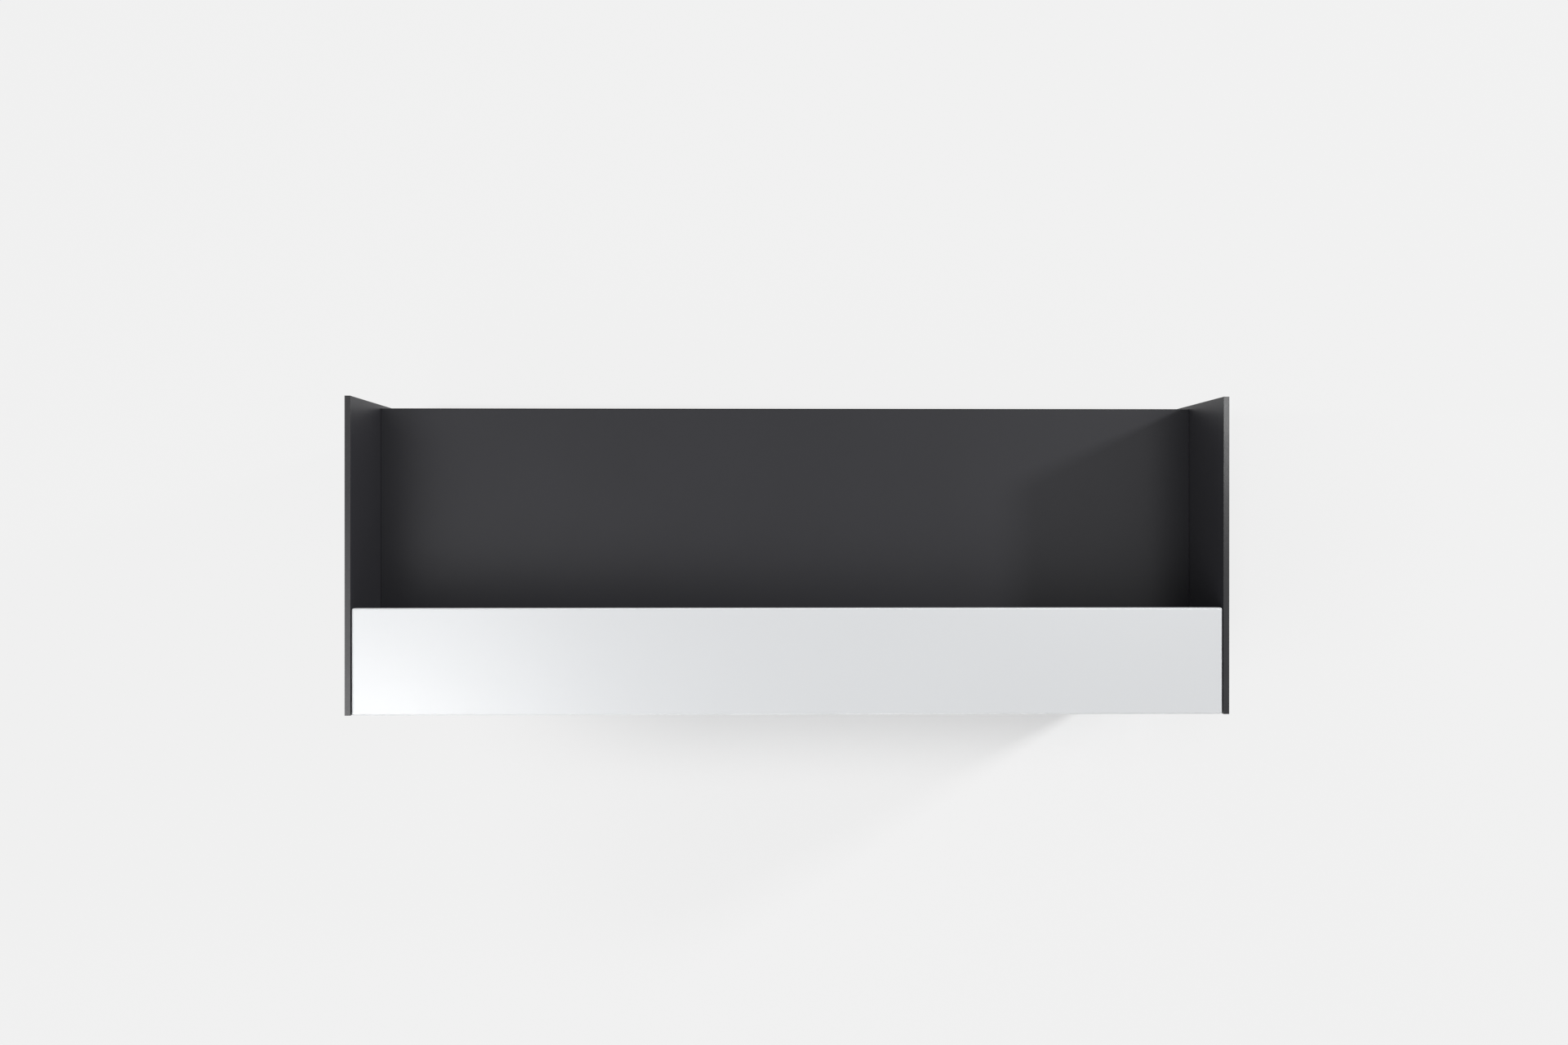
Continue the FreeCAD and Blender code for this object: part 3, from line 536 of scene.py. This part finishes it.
def weldRun(form, start, end, beads):  # beads keeps one mesh for each length
    run = end - start
    size = round(run.length, 6)  # to the micrometre
    if size not in beads:
        beads[size] = beadMesh(size)
    count = len(form.verts)
    form.from_mesh(beads[size])
    form.verts.ensure_lookup_table()
    turn = run.to_track_quat("X", "Z").to_matrix().to_4x4()
    bmesh.ops.transform(form, matrix=Matrix.Translation(start) @ turn, verts=form.verts[count:])


def gussetRuns(node):  # both sides of a gusset, under the arm and down the upright
    low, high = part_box(node)
    middle = (low.x + high.x) / 2
    inner = Vector((0, low.y + weld["steel"], high.z - weld["steel"]))
    for x in (middle - weld["steel"] / 2, middle + weld["steel"] / 2):
        yield Vector((x, low.y + weld["near"], inner.z)), Vector((x, low.y + weld["far"], inner.z))
        yield Vector((x, inner.y, high.z - weld["near"])), Vector((x, inner.y, high.z - weld["far"]))


def railRuns():  # round three sides of the tube where it meets its end plates
    low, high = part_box("worktop_rail")
    inset = weld["corner"]
    for x in (low.x, high.x):
        yield Vector((x, low.y + inset, low.z)), Vector((x, high.y - inset, low.z))
        for y in (low.y, high.y):
            yield Vector((x, y, low.z + inset)), Vector((x, y, high.z - inset))


def weldBeads(name, node, runs, beads):
    form = bmesh.new()
    for start, end in runs:
        weldRun(form, start, end, beads)
    bmesh.ops.recalc_face_normals(form, faces=form.faces)
    newPiece(name, form, node, stands=False)


beads = {}
for node in slotOf:
    if node.startswith("counter_bracket"):
        weldBeads(node + "_welds", node, gussetRuns(node), beads)
weldBeads("rail_welds", "worktop_rail", railRuns(), beads)
for mesh in beads.values():
    bpy.data.meshes.remove(mesh)
print("welds laid")

stud = {
    "pitch": 0.00125,
    "depth": 0.00068,
    "crest": 0.16,  # share of the pitch that is flat at the top of the thread
    "root": 0.2,  # and at its bottom
    "steps": 28,  # round one turn
    "chamfer": 0.0009,
    "crease": 40,
}


def threadForm(radius, height):  # a threaded rod that stands on zero
    form = bmesh.new()
    pitch = stud["pitch"]
    root = radius - stud["depth"]
    flank = (1 - stud["crest"] - stud["root"]) / 2
    outline = [  # radius, and height in pitches
        (root, 0),
        (radius, flank),
        (radius, flank + stud["crest"]),
        (root, 1 - stud["root"]),
        (root, 1),
    ]
    verts = [form.verts.new((reach, 0, (share - 1) * pitch)) for reach, share in outline]
    edges = [form.edges.new(pair) for pair in zip(verts, verts[1:])]
    bmesh.ops.spin(form, geom=verts + edges, cent=(0, 0, 0), axis=(0, 0, 1), angle=math.tau,
                   dvec=(0, 0, pitch / stud["steps"]), steps=stud["steps"])  # ends a pitch higher
    turn = form.verts[:] + form.edges[:] + form.faces[:]
    copies = math.ceil(height / pitch) + 1  # past the top, where it is sawn off
    for count in range(1, copies + 1):
        copied = bmesh.ops.duplicate(form, geom=turn)["geom"]
        moved = [item for item in copied if isinstance(item, bmesh.types.BMVert)]
        bmesh.ops.translate(form, vec=(0, 0, count * pitch), verts=moved)
    bmesh.ops.remove_doubles(form, verts=form.verts, dist=tolerance["join"])
    for level, outside in ((0, -1), (height, 1)):  # sawn off square and closed
        everything = form.verts[:] + form.edges[:] + form.faces[:]
        sawn = bmesh.ops.bisect_plane(form, geom=everything, dist=tolerance["cut"], plane_co=(0, 0, level),
                                      plane_no=(0, 0, outside), clear_outer=True)
        rim = [item for item in sawn["geom_cut"] if isinstance(item, bmesh.types.BMEdge)]
        bmesh.ops.holes_fill(form, edges=rim, sides=0)
    for vert in form.verts:  # a lead-in at the top
        reach = vert.co.xy.length
        allowed = radius - stud["chamfer"] + height - vert.co.z
        if reach > allowed:
            vert.co.xy *= allowed / reach
    bmesh.ops.recalc_face_normals(form, faces=form.faces)
    return form


def threadedStud(node):
    low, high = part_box(node)
    form = threadForm((high.x - low.x) / 2, high.z - low.z)
    bmesh.ops.translate(form, vec=((low.x + high.x) / 2, (low.y + high.y) / 2, low.z), verts=form.verts)
    newPiece(node + "_threaded", form, node, stud["crease"])


nut = {
    "flats": 0.013,  # width across the flats
    "bore": 0.0041,  # radius
    "face": 0.95,  # the turned face's share of that width
    "slope": 30,  # degrees, of the cone that takes the corners off
    "segments": 48,
    "crease": 25,
}


def nutRings(height):  # radius and height of each ring of points, going round the nut's section
    half = nut["flats"] / 2
    slope = math.tan(math.radians(nut["slope"]))
    side = math.tau / 6  # the angle that one side of a hexagon takes up

    def corner(angle):
        return half / math.cos((angle + side / 2) % side - side / 2)

    def shoulder(angle):  # the corners are turned off to a cone
        return height - (corner(angle) - nut["face"] * half) * slope

    return [
        (corner, lambda angle: 0),
        (corner, shoulder),
        (lambda angle: nut["face"] * half, lambda angle: height),
        (lambda angle: nut["bore"], lambda angle: height),
        (lambda angle: nut["bore"], lambda angle: 0),
    ]


def nutForm(form, place, height):
    ring = bmesh.ops.create_circle(form, segments=nut["segments"], radius=nut["flats"])["verts"]
    first = list({edge for vert in ring for edge in vert.link_edges})
    edges = first
    for count, (reach, rise) in enumerate(nutRings(height)):
        if count:
            grown = bmesh.ops.extrude_edge_only(form, edges=edges)["geom"]
            ring = [item for item in grown if isinstance(item, bmesh.types.BMVert)]
            edges = [item for item in grown if isinstance(item, bmesh.types.BMEdge)]
            edges = [edge for edge in edges if all(vert in ring for vert in edge.verts)]
        for vert in ring:
            angle = math.atan2(vert.co.y, vert.co.x)
            vert.co = (reach(angle) * math.cos(angle), reach(angle) * math.sin(angle), rise(angle))
    bmesh.ops.bridge_loops(form, edges=first + edges)
    made = [vert for vert in form.verts if not vert.tag]  # the nuts made before are tagged
    bmesh.ops.translate(form, vec=place, verts=made)
    for vert in made:
        vert.tag = True


def footNuts(studs):
    low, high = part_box("foot_nuts")
    form = bmesh.new()
    for node in studs:
        corner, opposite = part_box(node)
        middle = (corner + opposite) / 2
        nutForm(form, (middle.x, middle.y, low.z), high.z - low.z)
    bmesh.ops.recalc_face_normals(form, faces=form.faces)
    newPiece("foot_nuts_turned", form, "foot_nuts", nut["crease"])


studs = [node for node in slotOf if node.startswith("foot_stud")]
for node in studs:
    threadedStud(node)
footNuts(studs)
print("studs and nuts made")

floor = {
    "size": 40.0,
    "drop": 0.0003,  # just below the pads
    "pale": grey(0.879),  # its plain colour, without shadows
    "lit": grey(0.97),  # its colour where the lamps and shadows show
    "bounce": grey(0.8),  # its colour for the light that it throws on the desk
}
shadowFade = {  # shares of the plain colour, and where they hold
    "under": 0.12,
    "beside": 0.87,
    "near": 0.40,  # from the desk, where beside is reached
    "far": 2.6,  # where all of it is plain
    "clear": 0.97,  # behind the desk and on its left
    "edge": 0.06,  # width of the change to clear at the desk's edge
    "left": (0.2, 1.1),  # left of the middle, where clear starts and is reached
}


def seenRays(tree):  # 1 for what the camera sees, straight or in gloss and glass
    rays = tree.nodes.new("ShaderNodeLightPath")
    kinds = [Wire(tree, rays.outputs[f"Is {kind} Ray"]) for kind in ("Camera", "Glossy", "Transmission")]
    return kinds[0] + kinds[1] + kinds[2]


def plainShare(place):  # how much of the floor's plain colour covers its shadows
    corner = cadBox[1]
    sides = place.vectors("ABSOLUTE", (0, 0, 0)).vectors("SUBTRACT", (corner.x, corner.y, 0))
    away = sides.vectors("MAXIMUM", (0, 0, 0)).vectors("LENGTH", (0, 0, 0), "Value")  # from the footprint
    beside = away.between(0, shadowFade["near"]) * (shadowFade["beside"] - shadowFade["under"])
    beyond = away.between(shadowFade["near"], shadowFade["far"]) * (1 - shadowFade["beside"])
    share = shadowFade["under"] + beside + beyond
    behind = (place.part("Y") - corner.y).between(0, shadowFade["edge"])
    left = (0 - place.part("X")).between(*shadowFade["left"]) * away.between(0, shadowFade["edge"])
    return share + (shadowFade["clear"] - share) * place.maths("MAXIMUM", behind, left)


def floorFinish():
    material = bpy.data.materials.new("pale_floor")
    material.use_nodes = True
    tree = material.node_tree
    tree.nodes.clear()
    place = Wire(tree, tree.nodes.new("ShaderNodeTexCoord").outputs["Object"])
    seen = seenRays(tree)
    lit = place.node("ShaderNodeBsdfDiffuse", {}, {"Color": seen.blend(floor["bounce"], floor["lit"])})
    plain = place.node("ShaderNodeEmission", {}, {"Color": floor["pale"], "Strength": 1.0})
    above = place.node("ShaderNodeMixShader", {}, {0: seen * plainShare(place), 1: lit, 2: plain})
    below = place.node("ShaderNodeNewGeometry", {}, {}, "Backfacing")
    clear = place.node("ShaderNodeBsdfTransparent")
    sided = place.node("ShaderNodeMixShader", {}, {0: below, 1: above, 2: clear})  # clear from below
    end = tree.nodes.new("ShaderNodeOutputMaterial")
    tree.links.new(sided.socket, end.inputs["Surface"])
    return material


def paleFloor():
    form = bmesh.new()
    bmesh.ops.create_grid(form, x_segments=1, y_segments=1, size=floor["size"] / 2)
    bmesh.ops.translate(form, vec=(0, 0, -floor["drop"]), verts=form.verts)
    mesh = formMesh("floor", form)
    mesh.materials.append(floorFinish())
    ground = inScene("floor", mesh)


sky = {"light": 0.21, "shown": 0.879}  # how it lights matt faces, and how it looks straight or in gloss


def studioSky():
    world = bpy.data.worlds.new("studio")
    bpy.context.scene.world = world
    world.use_nodes = True
    tree = world.node_tree
    tree.nodes.clear()
    seen = seenRays(tree)
    strength = sky["light"] + seen * (sky["shown"] - sky["light"])
    light = seen.node("ShaderNodeBackground", {}, {"Color": (1, 1, 1, 1), "Strength": strength})
    end = tree.nodes.new("ShaderNodeOutputWorld")
    tree.links.new(light.socket, end.inputs["Surface"])


softBoxes = {
    # the main light, high on the right, whose shadows lie on the worktop and on the floor in front
    "key": {"place": (7.83, 3.44, 5.77), "aim": (0.0, 0.0, 0.9), "size": (0.9, 0.9), "power": 490},
    # the right panel's shadow in it is the dark band at the worktop's right end
    "bandRight": {"place": (1.99, 0.7, 5.6), "aim": (1.2, 0.2, 0.9), "size": (0.3, 1.5), "power": 17},
    # seen in the sheen of the right panel's top edge
    "edgeRight": {"place": (2.49, 0.64, 5.6), "aim": (1.2, 0.2, 1.1), "size": (0.5, 1.0), "power": 8},
    # these four give the soft shadows of the left panel and the counter, and its brighter left end
    "farLeft": {"place": (-3.55, -1.0, 5.6), "aim": (-1.0, -0.2, 0.8), "size": (0.4, 2.6), "power": 10},
    "overLeft": {"place": (-2.7, -1.8, 6.5), "aim": (-1.0, -0.6, 0.7), "size": (3.0, 3.4), "power": 62},
    "frontLeft": {"place": (-1.6, -1.4, 3.4), "aim": (-0.8, -0.5, 0.9), "size": (1.4, 1.4), "power": 17},
    "backLeft": {"place": (-2.8, 2.3, 5.2), "aim": (0.4, 0.0, 0.8), "size": (2.4, 2.4), "power": 27},
    # low fills for the upright faces
    "frontFill": {"place": (-0.5, -6.5, 1.5), "aim": (0.0, 0.0, 0.6), "size": (5.0, 2.2), "power": 125},
    "backFill": {"place": (0.4, 6.5, 1.9), "aim": (0.0, 0.0, 0.6), "size": (5.0, 2.2), "power": 120},
}


def softBox(name, settings):
    data = bpy.data.lights.new(name, "AREA")
    data.energy = settings["power"]
    data.shape = "RECTANGLE"
    data.size, data.size_y = settings["size"]
    lamp = inScene(name, data)
    lamp.location = settings["place"]
    back = Vector(settings["place"]) - Vector(settings["aim"])
    lamp.rotation_euler = back.to_track_quat("Z", "Y").to_euler()
    lamp.visible_camera = False


camera = {
    "place": (-0.0855, 0.0956, 5.5969),
    "turn": (-0.077, -0.922, 0.0),  # degrees away from looking straight down
    "lens": 38.08,
    "sensor": 36.0,
}


def photoCamera():
    data = bpy.data.cameras.new("camera")
    data.sensor_width = camera["sensor"]
    data.lens = camera["lens"]
    eye = inScene("camera", data)
    eye.location = camera["place"]
    eye.rotation_euler = Euler([math.radians(angle) for angle in camera["turn"]])
    bpy.context.scene.camera = eye


paleFloor()
studioSky()
for name, settings in softBoxes.items():
    softBox(name, settings)
photoCamera()
bpy.context.scene.view_settings.view_transform = "Standard"
print("stage set")
